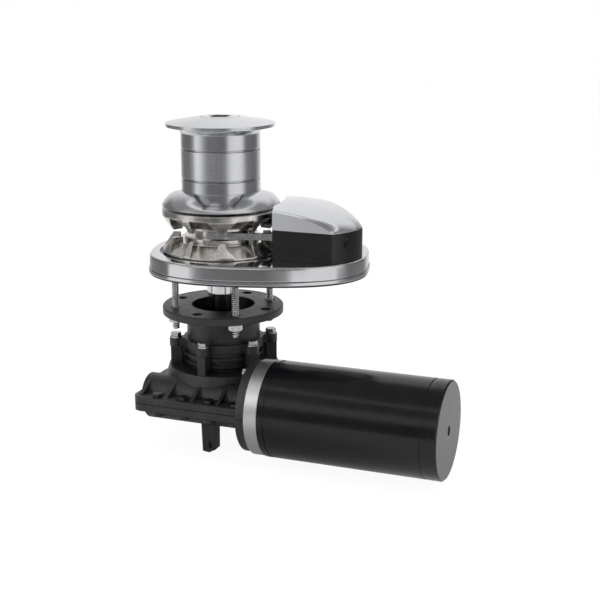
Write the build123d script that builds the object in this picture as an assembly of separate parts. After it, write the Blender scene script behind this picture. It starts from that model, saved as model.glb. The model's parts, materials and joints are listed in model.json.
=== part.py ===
from build123d import *
import os
from math import atan2, cos, degrees, pi, radians, sin, tan

# Vertical anchor windlass. Millimetres, +Z up the main shaft.
# The origin is on the shaft axis at the deck plane, which is the underside of the base gasket.
# +X runs along the long axis of the oval base, towards the chain cover.

os.makedirs("parts", exist_ok=True)

# Fits and clearances
run_fit = 0.05
clutch_gap = 0.3
free_gap = 0.5
seat_gap = 0.05

# Deck and base plate
deck_thickness = 40.0
gasket_thickness = 1.5
base_half_length = 119.0
base_half_width = 88.0
base_centre_x = 41.0
base_roundness = 2.57
base_height = 19.5
base_lip_height = 4.0
base_lip_step = 1.2
base_edge_round = 2.5
base_rim_wall = 9.0
base_deck_wall = 5.0
recess_radius = 67.5
recess_floor_z = 14.5
base_top_z = gasket_thickness + base_height

# Main shaft
shaft_radius = 12.5
shaft_top_z = 150.0
shaft_bottom_radius = 10.0
key_width = 8.0
key_height = 7.0
key_standing_out = 3.0

# Chain gypsy
gypsy_radius = 64.0
gypsy_bottom_z = 17.0
gypsy_height = 51.0
gypsy_slot_width = 9.0
gypsy_slot_radius = 29.5
gypsy_waist_radius = 55.0
gypsy_rim_width = 6.0
gypsy_edge_chamfer = 1.0
pocket_count = 5
pocket_turn = -45.4
pocket_floor_radius = 40.0
pocket_seat_radius = 49.0
pocket_seat_half = 9.0
pocket_mouth_half = 19.5
lobe_turn = 16.0
lobe_inner = 13.0
lobe_outer = 15.0
lobe_shoulder = 8.0
lobe_corner = 4.0
gypsy_top_z = gypsy_bottom_z + gypsy_height
gypsy_mid_z = gypsy_bottom_z + gypsy_height / 2

# Clutch cones
cone_big_radius = 33.0
cone_small_radius = 24.5
cone_length = 19.0
collar_radius = 21.0

# Warping drum and its cap
drum_radius = 42.3
drum_bottom_z = gypsy_top_z + 1.8
drum_top_z = 156.0
drum_rim_radius = 64.0
drum_ledge_height = 5.2
flare_height = 17.0
flange_radius = 58.0
flange_height = 8.0
drum_wall = 6.0
drum_hub_radius = 21.0
drum_hub_top_z = 132.0
drum_groove_heights = (99.8, 131.4)
drum_groove_width = 2.4
drum_groove_depth = 1.6
recess_count = 3
recess_width = 31.0
recess_turn = -85.0
cap_crown = 8.3
nut_radius = 20.5
nut_barrel_radius = 16.5
socket_across_flats = 22.0

# Deck bush
bush_radius = 17.3
bush_bore = 15.5
bush_flange_radius = 22.0
bush_flange_height = 3.0
bush_length_below = 26.0

# Chain cover
cover_inset = 4.5
cover_wall = 3.5
cover_left_x = 60.0
cover_front_y = -50.0
cover_front_angle = -15.5
cover_seam_z = 52.5
cover_end_x = 144.0
cover_end_y = -15.0
cover_end_angle = 35.0
dome_height = 25.0
dome_start_angle = 15.0
dome_top_angle = 84.0
dome_wall = 1.6
cover_drum_gap = 4.5
cover_screw_angle = -29.5
cover_screw_along = 55.0
cover_screw_z = 40.5
cover_screw_radius = 2.4
cover_slot_along = -13.0
cover_slot_z = 34.0
cover_slot_size = (5.5, 3.4)
dome_tab_width = 12.0
dome_tab_thickness = 2.6
chain_hole_length = 46.0
chain_hole_width = 36.0
chain_hole_x = 104.0
chain_hole_y = -12.0

# Chain stripper
stripper_height = 7.0
stripper_thickness = 5.0
stripper_tip_x = -12.0
stripper_root_x = 68.0
stripper_y = -34.8
stripper_sole = 5.0
stripper_screw_y = stripper_y + 13.0

# Mounting flange under the deck
flange_disc_radius = 66.0
flange_disc_thickness = 8.0
flange_bore_radius = 34.5
hole_circle_radius = 53.0
hole_radius = 5.5
hole_count = 8
hole_turn = 22.5
tube_radius = 40.0
foot_top_z = -76.0
foot_bottom_z = -85.0
foot_radius = 44.0
ear_radius = 7.0
ear_circle_radius = 52.5
ear_count = 6
flange_top_z = -deck_thickness
flange_bottom_z = flange_top_z - flange_disc_thickness

# Studs and metric fasteners
stud_radius = 4.0
stud_core_radius = 3.4
stud_bottom_z = -64.0
stud_boss_radius = 8.0
m8_nut_flats = 13.0
m8_nut_height = 6.5
m8_washer_radius = 8.0
m8_washer_thickness = 1.6
m6_radius = 3.0
m6_head_flats = 10.0
m6_head_height = 4.0
m6_washer_radius = 6.2
m6_washer_thickness = 1.6

# Gearbox. Its own frame has x along the worm, and the worm axis is the zero height.
gear_yaw = -16.0
worm_axis_z = -134.5
centre_distance = 50.0
gearbox_top_height = 28.5
gearbox_bottom_depth = 28.5
pot_radius = 64.0
pot_top_radius = pot_radius - 4.0
neck_radius = 41.0
split_flange_height = 8.0
split_flange_circle = pot_radius + 12.5
split_flange_reach = 40.0
casing_screw_circle = pot_radius + 6.5
split_flange_left = -pot_radius - 4.0
upper_barrel_left = -pot_radius - 2.0
lower_barrel_left = -pot_radius + 2.0
split_gasket = 0.6
upper_barrel_radius = 22.0
lower_barrel_radius = 27.0
gusset_pitch = 30.0
front_screw_middle = 4.6
front_screw_edge = 7.5
back_screw_angles = (24.0, 68.0, 112.0, 156.0)
back_gusset_angles = (46.0, 90.0, 134.0)
gusset_thickness = 4.0
adapter_left = pot_radius - 8.0
adapter_right = adapter_left + 10.0
adapter_cone_radius = 34.0
adapter_room_radius = 36.0
wheel_cavity_radius = 47.0
wheel_cavity_half = 15.0
worm_cavity_radius = 15.0
leg_width = 15.0
leg_depth = 12.0
leg_bottom = -57.0
leg_x = 8.0
oil_plug_turn = 120.0
oil_plug_radius = pot_top_radius - 8.5

# Worm gearing
gear_module = 2.5
wheel_teeth = 32
wheel_face = 22.0
worm_pitch_radius = centre_distance - gear_module * wheel_teeth / 2
worm_root_radius = worm_pitch_radius - 1.2 * gear_module
worm_lead = pi * gear_module
worm_turns = 4.5
worm_journal_radius = 7.5
tooth_backlash = 0.9

# Rolling bearings: bore, outside radius, width
output_upper_bearing = (12.5, 26.0, 15.0)
output_lower_bearing = (10.0, 23.5, 12.0)
worm_bearing = (7.5, 16.0, 9.0)
motor_front_bearing = (8.5, 20.0, 12.0)
motor_rear_bearing = (6.0, 16.0, 10.0)
worm_bearing_centre = adapter_left - 10.0
worm_seal_middle = adapter_left - 3.2
worm_seal_radius = 13.5
coupling_middle = adapter_left + 5.8
coupling_half_length = 6.0
coupling_radius = 12.0

# Motor
motor_radius = 51.5
motor_wall = 3.0
ring_radius = motor_radius - 0.7
ring_length = 15.0
adapter_radius = ring_radius - 2.3
end_cap_length = 8.0
ring_left = adapter_right
ring_right = ring_left + ring_length
motor_groove_depth = 0.9
motor_groove_width = 3.0
motor_groove_inset = 8.0
motor_spigot_wall = 4.5
magnet_angle = 68.0
magnet_thickness = 16.0
magnet_outer_radius = motor_radius - motor_wall - 1.0
magnet_inner_radius = magnet_outer_radius - magnet_thickness
armature_radius = magnet_inner_radius - 1.5
armature_start = ring_right + 41.0
armature_end = armature_start + 82.0
winding_length = 13.0
commutator_radius = 17.0
commutator_start = armature_end + 18.0
commutator_end = commutator_start + 18.0
motor_end = commutator_end + 29.5
brush_count = 4
brush_thickness = 8.0
brush_length = 14.0
brush_gap = 0.3
holder_top = motor_radius - motor_wall - 3.5
terminal_turn = -115.0
terminal_places = (commutator_start + 6.0, commutator_end + 10.0)
motor_screw_circle = ring_radius - 8.8
motor_screw_turns = (20, 160, 200, 340)
motor_screw_radius = 3.0


def save(shape, name):
    export_step(shape, f"parts/{name}.step")


def ring(outer, inner, low, high):
    """A tube standing on the shaft axis between two heights."""
    body = Pos(0, 0, low) * extrude(Circle(outer), high - low)
    if inner > 0:
        body -= Pos(0, 0, low - 1) * extrude(Circle(inner), high - low + 2)
    return body


def along_x(shape):
    """Turn a shape that was built up the Z axis so that it lies along +X."""
    return Rot(0, 90, 0) * shape


def polar(radius, count, turn=0.0):
    """Equally spaced places on a circle, as (x, y, angle)."""
    places = []
    for index in range(count):
        angle = turn + 360.0 * index / count
        places.append((radius * cos(radians(angle)), radius * sin(radians(angle)), angle))
    return places


def hexagon(flats, low, high):
    return Pos(0, 0, low) * extrude(RegularPolygon(flats / 2, 6, major_radius=False), high - low)


def group(pieces):
    return Compound(children=[piece.solid() for piece in pieces])


def in_gear_frame(shape):
    """Carry a shape from the gearbox frame to the windlass frame."""
    return Pos(0, 0, worm_axis_z) * Rot(0, 0, gear_yaw) * shape


def on_worm_axis(shape):
    return Pos(0, -centre_distance, 0) * shape


def oval(inset, scale=1.0, centre_x=None):
    """The oval of the base, drawn in by an inset and shrunk about a point."""
    half_length = (base_half_length - inset) * scale
    half_width = (base_half_width - inset) * scale
    middle = base_centre_x if centre_x is None else centre_x + (base_centre_x - centre_x) * scale
    points = []
    count = 24
    for index in range(count):
        angle = 2 * pi * index / count
        c = cos(angle)
        s = sin(angle)
        x = half_length * abs(c) ** (2 / base_roundness) * (1 if c >= 0 else -1)
        y = half_width * abs(s) ** (2 / base_roundness) * (1 if s >= 0 else -1)
        points.append((middle + x, y))
    return make_face(Spline(*points, periodic=True))


# Deck unit: base plate, gasket and bush

def stud_places():
    return polar(hole_circle_radius, 4, hole_turn)


def chain_hole(height):
    slot = SlotOverall(chain_hole_length, chain_hole_width)
    return Pos(chain_hole_x, chain_hole_y, 0) * extrude(slot, height)


def base_plate():
    lip = Pos(0, 0, gasket_thickness) * extrude(oval(0), base_lip_height)
    band = Pos(0, 0, gasket_thickness) * extrude(oval(base_lip_step), base_height)
    band = fillet(band.edges().group_by(Axis.Z)[-1], base_edge_round)
    plate = lip + band
    plate -= ring(recess_radius, 0, recess_floor_z, base_top_z + 1)
    hollow_height = recess_floor_z - base_deck_wall - gasket_thickness
    hollow = Pos(0, 0, gasket_thickness - 1) * extrude(oval(base_rim_wall), hollow_height + 1)
    hollow -= ring(bush_radius + 9, 0, 0, base_top_z)
    for x, y, angle in stud_places():
        hollow -= Pos(x, y, 0) * extrude(Circle(stud_boss_radius), base_top_z)
    pipe_wall = 4.0
    hollow -= Pos(chain_hole_x, chain_hole_y, 0) * extrude(
        SlotOverall(chain_hole_length + 2 * pipe_wall, chain_hole_width + 2 * pipe_wall), base_top_z)
    rib = 4.0
    for angle in (0, 60, 120):
        hollow -= Rot(0, 0, angle + hole_turn + 22.5) * Pos(0, 0, base_top_z / 2) * Box(
            4 * base_half_length, rib, base_top_z)
    plate -= hollow
    plate -= ring(bush_radius + seat_gap, 0, -1, base_top_z)
    plate -= ring(bush_flange_radius + seat_gap, 0, recess_floor_z - bush_flange_height, base_top_z)
    for x, y, angle in stud_places():
        stud_hole_top = recess_floor_z - 3
        plate -= Pos(x, y, -1) * extrude(Circle(stud_core_radius + seat_gap), stud_hole_top + 1)
    plate -= Pos(0, 0, -1) * chain_hole(base_top_z + 2)
    screw_floor = recess_floor_z + 1
    plate -= Pos(stripper_root_x + 6, stripper_screw_y, screw_floor) * extrude(
        Circle(m6_radius + seat_gap), base_top_z)
    return plate


def base_gasket():
    gasket = extrude(oval(1.0), gasket_thickness) - Pos(0, 0, -1) * extrude(
        oval(base_rim_wall), gasket_thickness + 2)
    return gasket


def deck_bush():
    top = recess_floor_z
    bush = ring(bush_radius, bush_bore, -bush_length_below, top)
    bush += ring(bush_flange_radius, bush_bore, top - bush_flange_height, top)
    return bush


def shaft_bearing():
    """Bronze sleeve in the deck bush."""
    return ring(bush_bore - seat_gap, shaft_radius + run_fit, -bush_length_below + 8, recess_floor_z - 8)


def shaft_seal():
    """Lip seal above the bronze sleeve."""
    low = recess_floor_z - 7.5
    body = ring(bush_bore - seat_gap, shaft_radius + 1.2, low, recess_floor_z - 0.5)
    lip = Pos(0, 0, low + 2) * Cone(shaft_radius + 1.6, shaft_radius + 1.3, 4)
    lip -= ring(shaft_radius + run_fit, 0, low - 1, low + 5)
    return body + lip


# Rotating deck parts

shaft_key_low = gypsy_bottom_z + 2
shaft_key_high = drum_hub_top_z - 6


def key(low, high, gap=0.0):
    """Feather key on the shaft between two heights. A gap makes it the room that the key needs."""
    middle_x = shaft_radius + key_standing_out - key_height / 2
    bar = Box(key_height + 2 * gap, key_width + 2 * gap, high - low)
    return Pos(middle_x, 0, (low + high) / 2) * bar


def key_space(low, high):
    return key(low, high, seat_gap)


def shaft_key():
    return key(shaft_key_low, shaft_key_high)


wheel_bottom_z = worm_axis_z - wheel_face / 2
wheel_top_z = worm_axis_z + wheel_face / 2
output_upper_z = worm_axis_z + wheel_cavity_half + 2
output_lower_z = worm_axis_z - wheel_cavity_half - output_lower_bearing[2]


def main_shaft():
    lower_end_z = output_lower_z
    shaft = ring(shaft_radius, 0, worm_axis_z - wheel_cavity_half + 1, shaft_top_z)
    shaft = chamfer(shaft.edges().group_by(Axis.Z)[-1], 1.5)
    shaft += ring(shaft_bottom_radius, 0, lower_end_z, worm_axis_z)
    shaft -= key_space(shaft_key_low, shaft_key_high)
    shaft -= key_space(wheel_bottom_z, wheel_top_z)
    return shaft


def cone_collar():
    return ring(collar_radius, shaft_radius + seat_gap, gypsy_bottom_z - 1.7, gypsy_bottom_z)


def clutch_cone(points_up):
    """Steel cone that grips the gypsy. The small end points to the gypsy's middle."""
    profile = make_face(Polyline(
        (shaft_radius + seat_gap, 0), (cone_big_radius, 0), (cone_small_radius, cone_length),
        (shaft_radius + seat_gap, cone_length), close=True))
    cone = revolve(Plane.XZ * profile, Axis.Z)
    if points_up:
        return Pos(0, 0, gypsy_bottom_z) * cone - key_space(0, gypsy_mid_z)
    return Pos(0, 0, gypsy_top_z) * Rot(180, 0, 0) * cone - key_space(gypsy_mid_z, gypsy_top_z + 5)


def gypsy_pocket():
    """Seat of one flat link: two rounded scoops side by side, narrower towards the rims."""
    mouth = pocket_mouth_half
    seat = revolve(Plane.XZ * make_face(Polyline(
        (pocket_floor_radius, -pocket_seat_half), (pocket_seat_radius, -pocket_seat_half),
        (gypsy_radius, -mouth), (gypsy_radius + 5, -mouth), (gypsy_radius + 5, mouth),
        (gypsy_radius, mouth), (pocket_seat_radius, pocket_seat_half),
        (pocket_floor_radius, pocket_seat_half), close=True)), Axis.Z)
    low = lobe_outer - lobe_shoulder
    outline = make_face(Polyline(
        (-lobe_inner, -mouth), (low, -mouth), (lobe_outer, -mouth + lobe_shoulder + 2),
        (lobe_outer, mouth - lobe_shoulder - 2), (low, mouth), (-lobe_inner, mouth), close=True))
    outer_corners = outline.vertices().filter_by(lambda corner: corner.X > 0)
    outline = fillet(outer_corners, lobe_corner)
    scoop = extrude(Plane.YZ * outline, gypsy_radius + 5)
    other = mirror(scoop, Plane.XZ)
    return seat & (Rot(0, 0, lobe_turn) * scoop + Rot(0, 0, -lobe_turn) * other)


def gypsy():
    """Chain wheel: two coned cheeks, a slot for the upright links and pockets for the flat ones."""
    half = gypsy_height / 2
    slot = gypsy_slot_width / 2
    edge = gypsy_edge_chamfer
    bore_big = cone_big_radius + clutch_gap
    bore_small = cone_small_radius + clutch_gap
    upper = [
        (bore_small - 0.5, 0),
        (bore_small - 0.5, half - cone_length),
        (bore_small, half - cone_length),
        (bore_big, half),
        (gypsy_radius - edge, half),
        (gypsy_radius, half - edge),
        (gypsy_radius, half - edge - gypsy_rim_width),
        (gypsy_waist_radius, slot),
        (gypsy_slot_radius, slot),
        (gypsy_slot_radius, 0),
    ]
    lower = [(r, -z) for r, z in reversed(upper)]
    outline = upper + [point for point in lower if point[1] < 0]
    wheel = revolve(Plane.XZ * make_face(Polyline(*outline, close=True)), Axis.Z)
    pocket = gypsy_pocket()
    for index in range(pocket_count):
        wheel -= Rot(0, 0, pocket_turn + 360 * index / pocket_count) * pocket
    return Pos(0, 0, gypsy_mid_z) * wheel


def drum():
    """Warping drum: hollow body, ledge with three raised flares, grooves and top flange."""
    low = drum_bottom_z
    ledge = low + drum_ledge_height
    flare_top = low + flare_height
    flange_low = drum_top_z - flange_height
    with BuildPart() as body:
        with BuildSketch(Plane.XZ):
            with BuildLine():
                Polyline((0, drum_top_z), (0, low), (drum_rim_radius - 1.5, low), (drum_rim_radius, low + 1.5))
                ThreePointArc((drum_rim_radius, low + 1.5), (drum_rim_radius - 5, ledge + 3.2), (drum_radius, flare_top))
                Line((drum_radius, flare_top), (drum_radius, flange_low))
                ThreePointArc((drum_radius, flange_low), (drum_radius + 4.5, drum_top_z - 3.6),
                              (flange_radius, drum_top_z - 1.5))
                Polyline((flange_radius, drum_top_z - 1.5), (flange_radius, drum_top_z), (0, drum_top_z))
            make_face()
        revolve(axis=Axis.Z)
    shell = body.part
    half = recess_width / 2
    rise = 2 * flare_height
    recess = extrude(Plane.YZ * make_face(Polyline(
        (-half, ledge), (half, ledge), (half + rise, ledge + rise), (-half - rise, ledge + rise),
        close=True)), drum_rim_radius + 5)
    recess -= ring(drum_radius + 0.7, 0, low, drum_top_z)
    for index in range(recess_count):
        shell -= Rot(0, 0, recess_turn + 360 * index / recess_count) * recess
    for height in drum_groove_heights:
        shell -= ring(drum_radius + 1, drum_radius - drum_groove_depth,
                      height - drum_groove_width / 2, height + drum_groove_width / 2)
    floor = flare_top + 2
    shell -= ring(drum_radius - drum_wall, drum_hub_radius, floor, drum_top_z + 1)
    shell -= ring(drum_hub_radius + 1, 0, drum_hub_top_z, drum_top_z + 1)
    shell -= ring(shaft_radius + seat_gap, 0, low - 1, drum_top_z)
    shell -= key_space(low - 1, drum_hub_top_z)
    return shell


def dome_profile(radius, low, rim, crown, hole):
    """Half section of a domed disc with a straight rim and a hole in its middle."""
    with BuildPart() as body:
        with BuildSketch(Plane.XZ):
            with BuildLine():
                middle = (radius + hole) * 0.55
                middle_z = low + rim + (crown - rim) * (1 - (middle / radius) ** 2)
                Polyline((hole, low + crown), (hole, low), (radius, low), (radius, low + rim))
                ThreePointArc((radius, low + rim), (middle, middle_z), (hole, low + crown))
            make_face()
        revolve(axis=Axis.Z)
    return body.part


def drum_cap():
    outer = dome_profile(flange_radius, drum_top_z, 1.8, cap_crown, nut_radius + free_gap)
    under = dome_profile(flange_radius - 8, drum_top_z, 0.5, cap_crown - 3.5, 1.0)
    rim_seat = ring(nut_radius + 4, 0, drum_top_z + 4, drum_top_z + cap_crown + 1)
    spigot_outer = drum_radius - drum_wall - seat_gap
    spigot = ring(spigot_outer, spigot_outer - 3, drum_top_z - 5, drum_top_z + 6)
    cap = outer - (under - rim_seat)
    cap += spigot & (outer + ring(spigot_outer, 0, drum_top_z - 6, drum_top_z + 0.5))
    return cap


def disc_springs():
    """Two coned washers under the clutch nut."""
    stack = []
    for index in range(2):
        low = drum_hub_top_z + index * 3.0
        wall = 1.6
        profile = make_face(Polyline(
            (shaft_radius + 0.3, low + 1.4), (drum_hub_radius - 2, low), (drum_hub_radius - 2, low + wall),
            (shaft_radius + 0.3, low + 1.4 + wall), close=True))
        stack.append(revolve(Plane.XZ * profile, Axis.Z))
    return group(stack)


def clutch_nut():
    """Round cap nut with a hexagon socket for the lever."""
    low = drum_hub_top_z + 6.3
    top = drum_top_z + cap_crown + 0.2
    nut = ring(nut_radius, 0, drum_top_z + 5, top)
    nut += ring(nut_barrel_radius, 0, low, drum_top_z + 6)
    nut = chamfer(nut.edges().group_by(Axis.Z)[-1], 0.8)
    nut -= ring(shaft_radius + run_fit, 0, low - 1, shaft_top_z + 1)
    nut -= hexagon(socket_across_flats, shaft_top_z + 3, top + 1)
    return nut


# Chain cover

def behind_front(inset):
    """Everything behind the cover's flat front face."""
    block = Box(400, 400, 300, align=(Align.CENTER, Align.MIN, Align.CENTER))
    return Pos(cover_left_x, cover_front_y, 0) * Rot(0, 0, cover_front_angle) * Pos(0, inset, 0) * block


def before_end(inset):
    """Everything on the drum's side of the cover's flat end face."""
    block = Box(400, 600, 300, align=(Align.MAX, Align.CENTER, Align.CENTER))
    return on_end_face(0, 0, Pos(-inset, 0, 0) * block)


def on_end_face(along, z, shape):
    """Move a shape onto the cover's flat end face, with its +X pointing out of the face."""
    return Pos(cover_end_x, cover_end_y, z) * Rot(0, 0, cover_end_angle) * Pos(0, along, 0) * shape


def cover_side(inset):
    """The room that the cover may take beside the gypsy."""
    left = cover_left_x + inset
    room = Box(300, 400, 300, align=(Align.MIN, Align.CENTER, Align.CENTER))
    room = Pos(left, 0, 0) * room
    clear = drum_rim_radius + cover_drum_gap + inset
    room -= ring(clear, 0, -150, 150)
    room -= Box(2 * clear, 200, 300, align=(Align.CENTER, Align.MIN, Align.CENTER))
    return room


def dome_solid(inset, low):
    """Domed solid whose foot follows the base's oval."""
    height = dome_height - inset
    start = radians(dome_start_angle)
    count = 8
    sections = []
    for index in range(count):
        angle = start + radians(dome_top_angle - dome_start_angle) * index / (count - 1)
        scale = cos(angle) / cos(start)
        z = low + height * (sin(angle) - sin(start)) / (1 - sin(start))
        sections.append(Pos(0, 0, z) * oval(cover_inset + inset, scale, cover_left_x))
    return loft(sections)


def on_cover_wall(angle, z, shape):
    """Move a shape onto the cover's side wall, with its +X pointing out of the wall."""
    half_length = base_half_length - cover_inset
    half_width = base_half_width - cover_inset
    power = base_roundness
    c = cos(radians(angle))
    s = sin(radians(angle))
    reach = ((abs(c) / half_length) ** power + (abs(s) / half_width) ** power) ** (-1 / power)
    x = reach * c
    y = reach * s
    out_x = (abs(x) / half_length) ** (power - 1) / half_length
    out_y = (abs(y) / half_width) ** (power - 1) / half_width * (1 if y >= 0 else -1)
    turn = degrees(atan2(out_y, out_x))
    return Pos(base_centre_x + x, y, z) * Rot(0, 0, turn) * shape


def at_cover_screws(shape):
    return [on_cover_wall(cover_screw_angle, cover_screw_z, shape),
            on_end_face(cover_screw_along, cover_screw_z, shape)]


def cover_housing():
    low = base_top_z
    outer = Pos(0, 0, low) * extrude(oval(cover_inset), cover_seam_z - low)
    inner = Pos(0, 0, low - 1) * extrude(oval(cover_inset + cover_wall), cover_seam_z - low + 2)
    wall = outer & behind_front(0) & before_end(0)
    wall -= inner & behind_front(cover_wall) & before_end(cover_wall)
    wall = wall & cover_side(0)
    hole = along_x(Cylinder(cover_screw_radius + 0.3, 30) + Cylinder(cover_screw_radius + 2.2, 4))
    for placed in at_cover_screws(hole):
        wall -= placed
    slot_length, slot_height = cover_slot_size
    wall -= on_end_face(cover_slot_along, cover_slot_z, Box(20, slot_length, slot_height))
    return wall


def cover_dome():
    outer = dome_solid(0, cover_seam_z)
    inner = dome_solid(dome_wall, cover_seam_z - 0.01)
    shell = outer & behind_front(0) & before_end(0)
    shell -= inner & behind_front(dome_wall) & before_end(dome_wall)
    shell = shell & cover_side(0)
    inside_wall = oval(cover_inset + cover_wall + 0.2)
    room = outer + Pos(0, 0, base_top_z) * extrude(inside_wall, cover_seam_z - base_top_z)
    tab_low = -7.0
    seam = cover_seam_z - cover_screw_z
    tab_high = seam + 10
    tab_front = cover_wall + clutch_gap
    tab = Pos(-tab_front, 0, 0) * Box(
        dome_tab_thickness, dome_tab_width, tab_high - tab_low, align=(Align.MAX, Align.CENTER, Align.MIN))
    tab = Pos(0, 0, tab_low) * tab
    tab += Pos(-dome_wall / 2, 0, seam) * Box(
        tab_front, dome_tab_width, tab_high - seam, align=(Align.MAX, Align.CENTER, Align.MIN))
    tab -= along_x(Cylinder(cover_screw_radius + seat_gap, 30))
    for placed in at_cover_screws(tab):
        shell += placed & room
    return shell.solids().sort_by(SortBy.VOLUME)[-1]


def cover_screws():
    shank = Pos(-3.2, 0, 0) * along_x(Cylinder(cover_screw_radius, 8))
    head = Pos(-0.9, 0, 0) * along_x(Cylinder(cover_screw_radius + 1.9, 1.6))
    screw = shank + head
    return group(at_cover_screws(screw))


# Chain stripper

def chain_stripper():
    """Flat finger in the gypsy's slot, carried by a foot on the base."""
    mid_z = gypsy_mid_z
    plan = make_face(Polyline(
        (stripper_tip_x, stripper_y - 1), (stripper_tip_x + 7, stripper_y + stripper_thickness / 2),
        (stripper_root_x + 12, stripper_y + stripper_thickness / 2),
        (stripper_root_x + 12, stripper_y - stripper_thickness / 2),
        (stripper_tip_x + 2, stripper_y - stripper_thickness / 2), close=True))
    bar = Pos(0, 0, mid_z - stripper_height / 2) * extrude(plan, stripper_height)
    foot_height = mid_z + stripper_height / 2 - base_top_z
    foot = Pos(stripper_root_x + 6, stripper_y, base_top_z) * extrude(
        Rectangle(12, 14), foot_height)
    sole = Pos(stripper_root_x + 6, stripper_y + 9, base_top_z) * extrude(Rectangle(12, 18), stripper_sole)
    finger = bar + foot + sole
    finger -= Pos(stripper_root_x + 6, stripper_screw_y, 0) * Cylinder(m6_radius + 0.2, 100)
    return finger


def stripper_screw():
    low = recess_floor_z + 1
    head_low = base_top_z + stripper_sole
    screw = ring(m6_radius, 0, low, head_low) + ring(4.8, 0, head_low, head_low + 5)
    screw -= hexagon(5.0, head_low + 2, head_low + 6)
    return Pos(stripper_root_x + 6, stripper_screw_y, 0) * screw


# Mounting flange under the deck

def ear_places():
    return polar(ear_circle_radius, ear_count, gear_yaw - 30)


def mounting_flange():
    plate = ring(flange_disc_radius, 0, flange_bottom_z, flange_top_z)
    plate = chamfer(plate.edges().group_by(Axis.Z)[-1], 0.8)
    body = plate + ring(tube_radius, 0, foot_bottom_z, flange_bottom_z)
    body += ring(foot_radius, 0, foot_bottom_z, foot_top_z)
    for x, y, angle in ear_places():
        ear = Pos(x, y, foot_bottom_z) * extrude(Circle(ear_radius), foot_top_z - foot_bottom_z)
        web = Rot(0, 0, angle) * Pos(foot_radius, 0, (foot_bottom_z + foot_top_z) / 2) * Box(
            2 * (ear_circle_radius - foot_radius), 2 * ear_radius - 2, foot_top_z - foot_bottom_z)
        body += ear + web
    body -= ring(flange_bore_radius, 0, foot_bottom_z - 1, flange_top_z + 1)
    for x, y, angle in ear_places():
        body -= Pos(x, y, foot_bottom_z - 1) * extrude(Circle(m6_radius + 0.4), 20)
    for x, y, angle in polar(hole_circle_radius, hole_count, hole_turn):
        body -= Pos(x, y, flange_bottom_z - 1) * extrude(Circle(hole_radius), flange_disc_thickness + 2)
    return body


def mounting_studs():
    """Outside diameter where they stand free, thread core where the base and the nuts hold them."""
    studs = []
    for x, y, angle in stud_places():
        stud = ring(stud_core_radius, 0, stud_bottom_z, recess_floor_z - 3)
        stud += ring(stud_radius, 0, flange_bottom_z, gasket_thickness)
        stud = chamfer(stud.edges().group_by(Axis.Z)[0], 0.8)
        studs.append(Pos(x, y, 0) * stud)
    return group(studs)


def stud_washers():
    high = flange_bottom_z
    low = high - m8_washer_thickness
    return group([Pos(x, y, 0) * ring(m8_washer_radius, stud_radius + 0.2, low, high)
                  for x, y, angle in stud_places()])


def stud_nuts():
    high = flange_bottom_z - m8_washer_thickness
    nuts = []
    for x, y, angle in stud_places():
        nut = hexagon(m8_nut_flats, high - m8_nut_height, high)
        nut -= ring(stud_core_radius + seat_gap, 0, high - 20, high + 1)
        nuts.append(Pos(x, y, 0) * Rot(0, 0, 15) * nut)
    return group(nuts)


def clamp_bolts():
    bolts = []
    for x, y, angle in ear_places():
        seat = foot_top_z + m6_washer_thickness
        bolt = ring(m6_radius, 0, foot_bottom_z - 14, seat)
        bolt += hexagon(m6_head_flats, seat, seat + m6_head_height)
        bolts.append(Pos(x, y, 0) * bolt)
    return group(bolts)


def clamp_washers():
    high = foot_top_z + m6_washer_thickness
    return group([Pos(x, y, 0) * ring(m6_washer_radius, m6_radius + 0.2, foot_top_z, high)
                  for x, y, angle in ear_places()])


# Gearbox castings, in the gearbox frame

def split_outline():
    """Plan of the bolted flange: a round end for the wheel and a straight side for the worm."""
    left = split_flange_left
    right = adapter_left + 1
    front = -centre_distance - split_flange_reach
    box = Pos((left + right) / 2, front / 2, 0) * Rectangle(right - left, -front)
    box = fillet(box.vertices().group_by(Axis.X)[0].sort_by(Axis.Y)[0], 10)
    motor_side = motor_radius - centre_distance + 4
    beside_motor = Pos(adapter_right - 1, motor_side, 0) * Rectangle(
        40, 120, align=(Align.MIN, Align.MAX))
    return Circle(split_flange_circle) + box - beside_motor


def screw_places():
    front_y = -centre_distance - split_flange_reach + front_screw_edge
    places = [(front_screw_middle + gusset_pitch * (index - 1.5), front_y) for index in range(4)]
    for angle in back_screw_angles:
        turn = radians(angle)
        places.append((casing_screw_circle * cos(turn), casing_screw_circle * sin(turn)))
    return places


def pillar_places():
    return polar(ear_circle_radius, ear_count, -30)


def worm_bores():
    """Bores along the worm axis for the worm, its bearings and seal."""
    bores = along_x(Cylinder(worm_cavity_radius, 2 * worm_bearing_centre))
    radius = worm_bearing[1] + seat_gap
    width = worm_bearing[2]
    for centre in (-worm_bearing_centre, worm_bearing_centre):
        bores += Pos(centre, 0, 0) * along_x(Cylinder(radius, width + 0.2))
    bores += tube_x(worm_seal_radius, 0, worm_bearing_centre, adapter_right + 5)
    return on_worm_axis(bores)


def casting_half(side):
    """All of the room above or below the gasket between the castings."""
    block = Box(400, 400, 200, align=(Align.CENTER, Align.CENTER, Align.MIN if side > 0 else Align.MAX))
    return Pos(0, 0, side * split_gasket / 2) * block


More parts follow.
